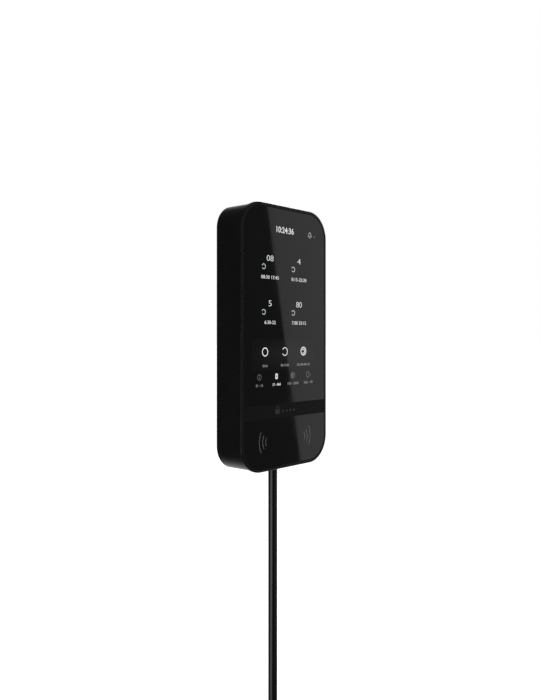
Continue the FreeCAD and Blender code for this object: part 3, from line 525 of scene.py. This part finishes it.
def materials():
    """Every material slot of the record, by name."""
    return {
        "case_plastic": moulded(
            "case_plastic", (0.008, 0.008, 0.0085), (0.012, 0.012, 0.0125), (0.26, 0.32)
        ),
        "bracket_plastic": moulded(
            "bracket_plastic", (0.028, 0.028, 0.03), (0.04, 0.04, 0.042), (0.4, 0.55)
        ),
        "screen_glass": polished_glass("screen_glass"),
        "painted_glass": polished_glass("painted_glass"),
        "band_plastic": brushed_strip(),
        "tape": foam_tape(),
        "touch_film": touch_film(),
        "screen": screen_face(),
        "backlight_tray": stamped_sheet("backlight_tray", (0.72, 0.73, 0.75), (0.25, 0.4), 0.4 * MM),
        "flex_circuit": flex_film(),
        "carrier_metal": cast_metal(),
        "screw_steel": turned_steel(),
        "circuit_board": solder_mask(),
        "chip_black": moulded(
            "chip_black", (0.02, 0.02, 0.022), (0.032, 0.032, 0.034), (0.5, 0.7), 0.12 * MM
        ),
        "tinned_steel": stamped_sheet("tinned_steel", (0.7, 0.7, 0.69), (0.22, 0.4), 0.5 * MM),
        "socket_plastic": moulded("socket_plastic", (0.66, 0.62, 0.52), (0.74, 0.71, 0.61), (0.4, 0.5)),
        "copper": stamped_sheet("copper", (0.82, 0.42, 0.26), (0.25, 0.45), 0.2 * MM),
        "ferrite": ferrite_sheet(),
        "brass_parts": stamped_sheet("brass_parts", (0.78, 0.58, 0.26), (0.2, 0.35), 0.2 * MM),
        "terminal_plastic": moulded(
            "terminal_plastic", (0.02, 0.17, 0.07), (0.035, 0.24, 0.1), (0.35, 0.5)
        ),
        "soft_rubber": rubber("soft_rubber"),
        "nylon": moulded("nylon", (0.55, 0.53, 0.47), (0.65, 0.63, 0.58), (0.4, 0.55)),
        "cable_jacket": cable_jacket(),
        "wire_insulation": wire_insulation(),
        "tie_nylon": moulded(
            "tie_nylon", (0.02, 0.02, 0.02), (0.035, 0.035, 0.035), (0.35, 0.5), 0.4 * MM
        ),
        "spring_steel": stamped_sheet("spring_steel", (0.55, 0.55, 0.56), (0.2, 0.35), 0.15 * MM),
        "label": blank_label(),
    }


def paint_nodes(made):
    """Each CAD node takes the material of its slot in the record."""
    for part in frame["record"]["subparts"]:
        node = NODES[part["node"]]
        if not node.data.materials:
            node.data.materials.append(None)
        for slot in node.material_slots:
            slot.link = "OBJECT"
            slot.material = made[part["material_slot"]]


def into_scene(name, data):
    """A new object of the scene with the given data."""
    piece = bpy.data.objects.new(name, data)
    bpy.context.scene.collection.objects.link(piece)
    return piece


# ----------------------------------------------------------- flat drawing
def arc(x, z, radius, first, last, steps=32):
    """Points of an arc between two angles in degrees, counter-clockwise from +X."""
    angles = [math.radians(first + (last - first) * i / steps) for i in range(steps + 1)]
    return [(x + radius * math.cos(a), z + radius * math.sin(a)) for a in angles]


def rounded_box(x0, x1, z0, z1, radius):
    """Outline of a rectangle with round corners."""
    radius = min(radius, (x1 - x0) / 2, (z1 - z0) / 2)
    corners = ((x1, z1, 0), (x0, z1, 90), (x0, z0, 180), (x1, z0, 270))
    points = []
    for x, z, angle in corners:
        cx = x - radius if x == x1 else x + radius
        cz = z - radius if z == z1 else z + radius
        points += arc(cx, cz, radius, angle, angle + 90, 6)
    return points


def fill(drawing, points):
    """Adds a filled outline to the drawing."""
    drawing.faces.new([drawing.verts.new((x, 0.0, z)) for x, z in points])


def dot(drawing, x, z, radius):
    """Adds a filled circle to the drawing."""
    fill(drawing, arc(x, z, radius, 0, 360, 20)[:-1])


def loop(drawing, outer, inner):
    """Adds the strip between two closed outlines with the same number of points."""
    rims = [[drawing.verts.new((x, 0.0, z)) for x, z in points] for points in (outer, inner)]
    for i in range(len(outer)):
        j = (i + 1) % len(outer)
        drawing.faces.new((rims[0][i], rims[0][j], rims[1][j], rims[1][i]))


def ring(drawing, x, z, radius, width):
    """Adds a full ring to the drawing."""
    outer = arc(x, z, radius + width / 2, 0, 360, 48)[:-1]
    inner = arc(x, z, radius - width / 2, 0, 360, 48)[:-1]
    loop(drawing, outer, inner)


def heading(here, there):
    """The angle in degrees of the way from one point to another."""
    return math.degrees(math.atan2(there[1] - here[1], there[0] - here[0]))


def stroke(drawing, points, width):
    """Adds a line with round ends through the points."""
    half = width / 2
    left, right = [], []
    for i, (x, z) in enumerate(points):
        x0, z0 = points[max(i - 1, 0)]
        x1, z1 = points[min(i + 1, len(points) - 1)]
        length = math.hypot(x1 - x0, z1 - z0)
        nx, nz = -(z1 - z0) / length * half, (x1 - x0) / length * half
        left.append((x + nx, z + nz))
        right.append((x - nx, z - nz))
    first, last = heading(*points[:2]), heading(*points[-2:])
    end_cap = arc(*points[-1], half, last + 90, last - 90, 8)[1:-1]
    start_cap = arc(*points[0], half, first - 90, first - 270, 8)[1:-1]
    fill(drawing, left + end_cap + right[::-1] + start_cap)


def digits(drawing, text, x, z, width, style):
    """Adds digits of the given width and style, centred on x with their feet at z."""
    height, bold = style
    curve = bpy.data.curves.new("digits", "FONT")
    curve.body = text
    curve.align_x = "CENTER"
    curve.size = height / DIGIT_SHARE_OF_SIZE
    curve.offset = bold
    curve.resolution_u = 4
    outline = into_scene("digits", curve)
    bpy.context.view_layer.update()
    stretch = width / outline.dimensions.x
    flat = bpy.data.meshes.new_from_object(outline)
    upright = Matrix.Rotation(math.radians(90.0), 4, "X") @ Matrix.Diagonal((stretch, 1.0, 1.0, 1.0))
    flat.transform(Matrix.Translation((x, 0.0, z)) @ upright)
    drawing.from_mesh(flat)
    bpy.data.objects.remove(outline)
    bpy.data.curves.remove(curve)
    bpy.data.meshes.remove(flat)


def raised(name, drawing, front_y, material):
    """Turns a flat drawing in millimetres into a thin solid piece whose face is at front_y."""
    bmesh.ops.dissolve_degenerate(drawing, dist=0.002, edges=drawing.edges)
    made = bmesh.ops.extrude_face_region(drawing, geom=list(drawing.faces))
    back = [v for v in made["geom"] if isinstance(v, bmesh.types.BMVert)]
    bmesh.ops.translate(drawing, verts=back, vec=(0.0, INK / MM, 0.0))
    bmesh.ops.recalc_face_normals(drawing, faces=drawing.faces)
    mesh = bpy.data.meshes.new(name)
    drawing.to_mesh(mesh)
    drawing.free()
    mesh.transform(Matrix.Translation((SCREEN_MIDDLE * MM, front_y, 0.0)) @ Matrix.Scale(MM, 4))
    mesh.materials.append(material)
    piece = into_scene(name, mesh)
    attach(piece, "keypad")


def on_glass(name, drawing, material, layer=1):
    """A lit or printed part of the front, in the given layer on the cover glass."""
    raised(name, drawing, GLASS_FRONT - layer * INK_LIFT - INK, material)


# -------------------------------------------------------------- lit screen
def bell_outline(x, z, inset):
    """A bell's outline, drawn in by the inset."""
    dome = arc(x, z, BELL_RADIUS - inset, 0, 180, 12)
    foot = BELL_FOOT - 1.3 * inset
    foot_z = z - BELL_FOOT + inset
    return dome + [(x - foot, foot_z), (x + foot, foot_z)]


def top_bar(white, soft):
    """The clock at the top, with a bell and a dot at its right."""
    clock = bmesh.new()
    digits(clock, "10:24:36", *CLOCK_AT, CLOCK_WIDTH, CLOCK_STYLE)
    on_glass("clock_digits", clock, white)
    bell = bmesh.new()
    x, z = BELL_AT
    loop(bell, bell_outline(x, z, 0.0), bell_outline(x, z, BELL_LINE))
    fill(bell, arc(x, z - 2.0, 0.5, 180, 360, 10))
    dot(bell, x + 4.3, z - 1.2, 0.3)
    on_glass("bell_icon", bell, soft)


def area_groups(white, bright, mint):
    """Four areas, each with a number, a status ring and its hours."""
    numbers = bmesh.new()
    rings = bmesh.new()
    hours = bmesh.new()
    radius, line = STATUS_RING
    for row, z in enumerate(GROUP_ROWS):
        for column, x in enumerate((-COLUMN_X, COLUMN_X)):
            text, width = AREA_NUMBERS[row][column]
            digits(numbers, text, x, z - GROUP_NUMBER_DROP, width, AREA_STYLE)
            ring_x, ring_z = x + GROUP_RING_SHIFT[0], z + GROUP_RING_SHIFT[1]
            stroke(rings, arc(ring_x, ring_z, radius, -140, 150), line)
            text, width = AREA_HOURS[row][column]
            digits(hours, text, x, z - GROUP_HOURS_DROP, width, AREA_HOURS_STYLE)
    on_glass("area_numbers", numbers, white)
    on_glass("area_status_rings", rings, mint)
    on_glass("area_hours", hours, bright)


def mode_panel(glow):
    """The softly lit panel behind the arming modes."""
    drawing = bmesh.new()
    fill(drawing, rounded_box(*MODE_PANEL, 3.0))
    on_glass("mode_panel", drawing, glow, layer=0)


def mode_buttons(strong, grey):
    """Three round arming modes, full, part and night, with their hours."""
    drawing = bmesh.new()
    full_x, part_x, night_x = MODE_XS
    ring(drawing, full_x, MODE_Z, *FULL_MODE_RING)
    radius, line = PART_MODE_RING
    stroke(drawing, arc(part_x, MODE_Z, radius, -145, 145), line)
    ring(drawing, night_x, MODE_Z, *NIGHT_MODE_RING)
    radius, line = NIGHT_MODE_ARC
    stroke(drawing, arc(night_x, MODE_Z, radius, -110, 140, 20), line)
    on_glass("mode_rings", drawing, strong)
    hours = bmesh.new()
    for x, (text, width) in zip(MODE_XS, MODE_HOURS):
        digits(hours, text, x, MODE_HOURS_Z, width, MODE_HOURS_STYLE)
    on_glass("mode_hours", hours, grey)


def tab_icons(drawing):
    """An information sign, a half-filled ring and a door with an arrow."""
    x_info, x_half, x_exit = TAB_XS[0], TAB_XS[2], TAB_XS[3]
    ring(drawing, x_info, TAB_Z, *INFO_RING)
    stroke(drawing, [(x_info, TAB_Z - 0.8), (x_info, TAB_Z + 0.3)], 0.38)
    dot(drawing, x_info, TAB_Z + 0.95, 0.24)
    ring(drawing, x_half, TAB_Z, *HALF_RING)
    fill(drawing, arc(x_half - 0.1, TAB_Z, 1.35, 90, 270, 20))
    radius, line = HALF_RING_ARC
    stroke(drawing, arc(x_half, TAB_Z, radius, -75, 75, 14), line)
    door = rounded_box(x_exit - 1.8, x_exit + 0.8, TAB_Z - 1.8, TAB_Z + 1.8, 0.6)
    doorway = rounded_box(x_exit - 1.4, x_exit + 0.4, TAB_Z - 1.4, TAB_Z + 1.4, 0.3)
    loop(drawing, door, doorway)
    tip = x_exit + 2.2
    stroke(drawing, [(tip - 0.8, TAB_Z + 0.8), (tip, TAB_Z), (tip - 0.8, TAB_Z - 0.8)], 0.34)


def tab_bar(white, bright, dim, faint):
    """Four tabs, the second one chosen."""
    icons = bmesh.new()
    tab_icons(icons)
    on_glass("tab_icons", icons, faint)
    chosen = bmesh.new()
    x, z = TAB_XS[1], TAB_Z
    pill = rounded_box(x - 1.05, x + 1.05, z - 1.7, z + 1.7, 1.0)
    loop(chosen, pill, rounded_box(x - 0.38, x + 0.38, z - 0.6, z + 0.6, 0.38))
    on_glass("chosen_tab_icon", chosen, white)
    ranges = bmesh.new()
    chosen_range = bmesh.new()
    for x, (text, width) in zip(TAB_XS, TAB_RANGES):
        target = chosen_range if x == TAB_XS[1] else ranges
        digits(target, text, x, TAB_RANGE_Z, width, TAB_RANGE_STYLE)
    on_glass("tab_ranges", ranges, dim)
    on_glass("chosen_tab_range", chosen_range, bright)


def reader_marks(ink):
    """Three arcs at each side of the card reader, like waves from a card."""
    drawing = bmesh.new()
    for side in (-1, 1):
        for tip, half_height, bulge in READER_ARCS:
            radius = (half_height ** 2 + bulge ** 2) / (2 * bulge)
            reach = math.degrees(math.asin(half_height / radius))
            middle = 180 if side < 0 else 0
            centre_x = READER_MARK_X + side * (tip - radius)
            wave = arc(centre_x, READER_MARK_Z, radius, middle - reach, middle + reach, 20)
            stroke(drawing, wave, READER_LINE)
    on_glass("reader_marks", drawing, ink)


def band_mark(ink):
    """A small padlock and four dots, a plain sign on the matte strip."""
    drawing = bmesh.new()
    z = BAND_MARK_Z
    fill(drawing, rounded_box(-8.4, -4.4, z, z + 2.7, 0.5))
    shackle = [(-7.6, z + 2.5)] + arc(-6.4, z + 3.1, 1.2, 180, 0, 14) + [(-5.2, z + 2.5)]
    stroke(drawing, shackle, 0.5)
    for i in range(4):
        dot(drawing, -1.4 + i * BAND_DOT_PITCH, z + 1.35, 0.75)
    raised("band_mark", drawing, BAND_FRONT - INK, ink)


def lit_screen():
    """Everything that is lit or printed on the front."""
    strong = lit("lit_strong", LIT_WHITE, 1.15)
    white = lit("lit_white", LIT_WHITE, 0.85)
    bright = lit("lit_bright", LIT_WHITE, 0.8)
    soft = lit("lit_soft", (0.8, 0.81, 0.83), 0.5)
    mint = lit("lit_mint", (0.5, 0.62, 0.57), 1.4)
    grey = lit("lit_grey", (0.42, 0.43, 0.44), 0.55)
    dim = lit("lit_dim", (0.38, 0.38, 0.4), 0.5)
    faint = lit("lit_faint", (0.3, 0.3, 0.31), 0.4)
    mode_panel(panel_glow())
    top_bar(white, soft)
    area_groups(white, bright, mint)
    mode_buttons(strong, grey)
    tab_bar(white, bright, dim, faint)
    reader_marks(ink_behind_glass())
    band_mark(ink_on_band())


# ------------------------------------------------------- cable and spring
def tube(name, kind, points, radius, facets):
    """A round tube as a curve, with one spline of the given kind through or near the points."""
    curve = bpy.data.curves.new(name, "CURVE")
    curve.dimensions = "3D"
    line = curve.splines.new(kind)
    line.points.add(len(points) - 1)
    for point, place_at in zip(line.points, points):
        point.co = (*place_at, 1.0)
    curve.bevel_depth = radius
    curve.bevel_resolution = facets
    curve.use_fill_caps = True
    return curve


def coil_points(per_turn=24):
    """Control points of the wound turns, clockwise from the lead's join to three o'clock.

    Each turn keeps to one of six places round the coil's section, and moves on to the
    next place over a sixth of a turn, the later turns first, so that no turns meet."""
    step = 2 * CABLE_RADIUS
    outer = COIL_MEAN_RADIUS + CABLE_RADIUS
    inner = COIL_MEAN_RADIUS - CABLE_RADIUS
    places = (
        (outer, CABLE_Y),
        (outer, CABLE_Y - step),
        (inner, CABLE_Y - step),
        (inner, CABLE_Y),
        (inner, CABLE_Y + step),
        (outer, CABLE_Y + step),
    )
    whole_turns = len(places) - 1
    steps = round((whole_turns + JOIN_ANGLE / 360.0) * per_turn)
    points = []
    for i in range(steps):
        travelled = (i + 0.5) * 360.0 / per_turn
        turn = min(int(travelled // 360.0), whole_turns)
        following = min(turn + 1, whole_turns)
        change_from = FIRST_CHANGE + CHANGE_ANGLE * (whole_turns - 1 - turn)
        share = min(max((travelled - 360.0 * turn - change_from) / CHANGE_ANGLE, 0.0), 1.0)
        eased = share * share * (3.0 - 2.0 * share) if turn < whole_turns else 0.0
        radius = places[turn][0] * (1 - eased) + places[following][0] * eased
        y = places[turn][1] * (1 - eased) + places[following][1] * eased
        reach = radius / math.cos(math.pi / per_turn)
        angle = math.radians(JOIN_ANGLE - travelled)
        points.append((reach * math.cos(angle), y, COIL_CENTRE_Z + reach * math.sin(angle)))
    return points


def cable(jacket):
    """The bus cable: straight down from its grommet, wound up, and down to its plug."""
    tail_x = COIL_MEAN_RADIUS + CABLE_RADIUS
    tail_y = CABLE_Y + 2 * CABLE_RADIUS
    route = [EXIT, LEAD_STRAIGHT_END, LEAD_BEND, LEAD_JOIN]
    route += coil_points()
    route += [(tail_x, tail_y, TAIL_START_Z), (tail_x, tail_y, TAIL_END_Z)]
    curve = tube("bus_cable", "NURBS", route, CABLE_RADIUS, 8)
    line = curve.splines[0]
    line.order_u = 3
    line.use_endpoint_u = True
    line.resolution_u = 8
    curve.materials.append(jacket)
    piece = into_scene("bus_cable", curve)
    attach(piece, "keypad")
    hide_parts("cable_lead", "cable_coil", "cable_tail")


def spring_points(low, high):
    """Points along the wire of a coil spring that fills the given box, with closed ends."""
    middle = (low + high) / 2
    radius = (high.x - low.x) / 2 - SPRING_WIRE
    rise = high.y - low.y - 2 * SPRING_WIRE
    end_pitch = 2.2 * SPRING_WIRE
    closed_turns = 2 * SPRING_END_TURNS
    pitch = (rise - closed_turns * end_pitch) / (SPRING_TURNS - closed_turns)
    per_turn = 32
    points = []
    for i in range(SPRING_TURNS * per_turn + 1):
        turn = i / per_turn
        first = min(turn, SPRING_END_TURNS)
        last = max(turn - (SPRING_TURNS - SPRING_END_TURNS), 0.0)
        closed = first + last
        y = low.y + SPRING_WIRE + end_pitch * closed + pitch * (turn - closed)
        angle = 2 * math.pi * turn
        points.append((middle.x + radius * math.cos(angle), y, middle.z + radius * math.sin(angle)))
    return points


def tube_mesh(curve):
    """The mesh of a tube, smoothly shaded."""
    tubing = bpy.data.objects.new(curve.name, curve)
    mesh = bpy.data.meshes.new_from_object(tubing)
    bpy.data.objects.remove(tubing)
    mesh.shade_smooth()
    return mesh


def tamper_spring(steel):
    """The tamper plunger's spring on the board's side, as a coiled wire that fills the CAD spring's
    box.
    """
    low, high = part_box("tamper_spring")
    wire = tube("tamper_coil_spring", "POLY", spring_points(low, high), SPRING_WIRE, 4)
    mesh = tube_mesh(wire)
    mesh.materials.clear()
    mesh.materials.append(steel)
    piece = into_scene("tamper_coil_spring", mesh)
    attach(piece, "keypad")
    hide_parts("tamper_spring")
    held = (low + high) / 2
    held.y = low.y
    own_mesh(piece)


# ------------------------------------------------------------ stage, light
def floor():
    """A wide pale floor below the plug, which throws no light back at the object."""
    made, tree, shader = start("floor", (0.8, 0.8, 0.8), 0.9)
    tint(tree, shader, noise(tree, place(tree), 0.6, 2.0), (0.79, 0.79, 0.79), (0.81, 0.81, 0.81))
    shader.inputs["Emission Color"].default_value = (1.0, 1.0, 1.0, 1.0)
    shader.inputs["Emission Strength"].default_value = 1.0
    sheet = bmesh.new()
    bmesh.ops.create_circle(sheet, cap_ends=True, segments=96, radius=FLOOR_RADIUS)
    mesh = bpy.data.meshes.new("floor")
    sheet.to_mesh(mesh)
    sheet.free()
    mesh.materials.append(made)
    piece = into_scene("floor", mesh)
    piece.location.z = CAD_BOX[0].z - FLOOR_GAP
    piece.visible_diffuse = False
    piece.visible_glossy = False


def dim_room(tree):
    """The light of a dim room with one bright side."""
    where = tree.nodes.new("ShaderNodeTexCoord")
    towards = add(tree, "ShaderNodeVectorMath", operation="DOT_PRODUCT")
    towards.inputs[1].default_value = BRIGHT_SIDE
    tree.links.new(where.outputs["Generated"], towards.inputs[0])
    room = tree.nodes.new("ShaderNodeBackground")
    light = shaded(tree, towards.outputs["Value"], ROOM_DARK, ROOM_BRIGHT, 0.45, 0.85)
    tree.links.new(light, room.inputs["Color"])
    return room.outputs["Background"]


def studio():
    """A white backdrop to look at, and a dim room to be lit by."""
    world = bpy.data.worlds.new("studio")
    world.use_nodes = True
    bpy.context.scene.world = world
    tree = world.node_tree
    backdrop = tree.nodes["Background"]
    backdrop.inputs["Color"].default_value = (1.0, 1.0, 1.0, 1.0)
    backdrop.inputs["Strength"].default_value = 1.0
    path = tree.nodes.new("ShaderNodeLightPath")
    choose = tree.nodes.new("ShaderNodeMixShader")
    tree.links.new(path.outputs["Is Camera Ray"], choose.inputs["Fac"])
    tree.links.new(dim_room(tree), choose.inputs[1])
    tree.links.new(backdrop.outputs["Background"], choose.inputs[2])
    tree.links.new(choose.outputs["Shader"], tree.nodes["World Output"].inputs["Surface"])


def softbox(name, at, aim, size, glow, lean=0.0):
    """A rectangular light of the given size whose face is as bright as glow, leaning sideways."""
    lamp = bpy.data.lights.new(name, "AREA")
    lamp.shape = "RECTANGLE"
    lamp.size, lamp.size_y = size
    lamp.energy = glow * math.pi * size[0] * size[1]
    piece = into_scene(name, lamp)
    piece.location = at
    facing = (Vector(aim) - Vector(at)).to_track_quat("-Z", "Y").to_matrix().to_4x4()
    turned = facing @ Matrix.Rotation(math.radians(lean), 4, "Z")
    piece.rotation_euler = turned.to_euler()
    piece.visible_camera = False


def lights():
    """A leaning card at the front right, which the glass mirrors, and soft boxes round the object."""
    softbox("card", (CARD_X, -0.6, 0.0), (CARD_X, 0.0, 0.0), (0.6, 1.1), 0.49, CARD_LEAN)
    softbox("front_box", (0.3, -1.3, 0.0), (0.3, 0.0, 0.0), (0.6, 1.6), 0.25, CARD_LEAN)
    softbox("left_box", (-0.9, -0.35, 0.0), (0.0, 0.0, 0.0), (0.2, 1.0), 2.0)
    softbox("low_left_box", (-0.95, 0.02, -0.44), (0.0, 0.0, -0.1), (0.78, 0.6), 1.45)
    softbox("right_box", (1.0, 0.3, 0.3), (0.0, 0.0, 0.0), (0.6, 1.0), 0.8)
    softbox("top_box", (0.15, -0.5, 1.0), (0.0, 0.0, 0.0), (0.9, 0.9), 0.6)
    softbox("back_box", (0.8, 0.5, 0.9), (0.0, 0.0, -0.05), (0.4, 0.4), 14.0)
    softbox("side_box", (-0.9, -0.9, 0.2), (0.0, 0.0, 0.0), (0.5, 0.8), 0.1)


def camera():
    """The camera at the object's left, level with its middle."""
    lens = bpy.data.cameras.new("camera")
    lens.lens = CAMERA_LENS
    lens.sensor_width = 36.0
    lens.shift_y = CAMERA_SHIFT
    lens.clip_start = 0.01
    piece = into_scene("camera", lens)
    piece.location = CAMERA_AT
    piece.rotation_euler = (math.radians(90.0), 0.0, math.radians(CAMERA_TURN))
    bpy.context.scene.camera = piece
    bpy.context.scene.view_settings.view_transform = "Standard"


finishes = materials()
paint_nodes(finishes)
camera()
cable(finishes["cable_jacket"])
tamper_spring(finishes["spring_steel"])
lit_screen()
floor()
studio()
lights()
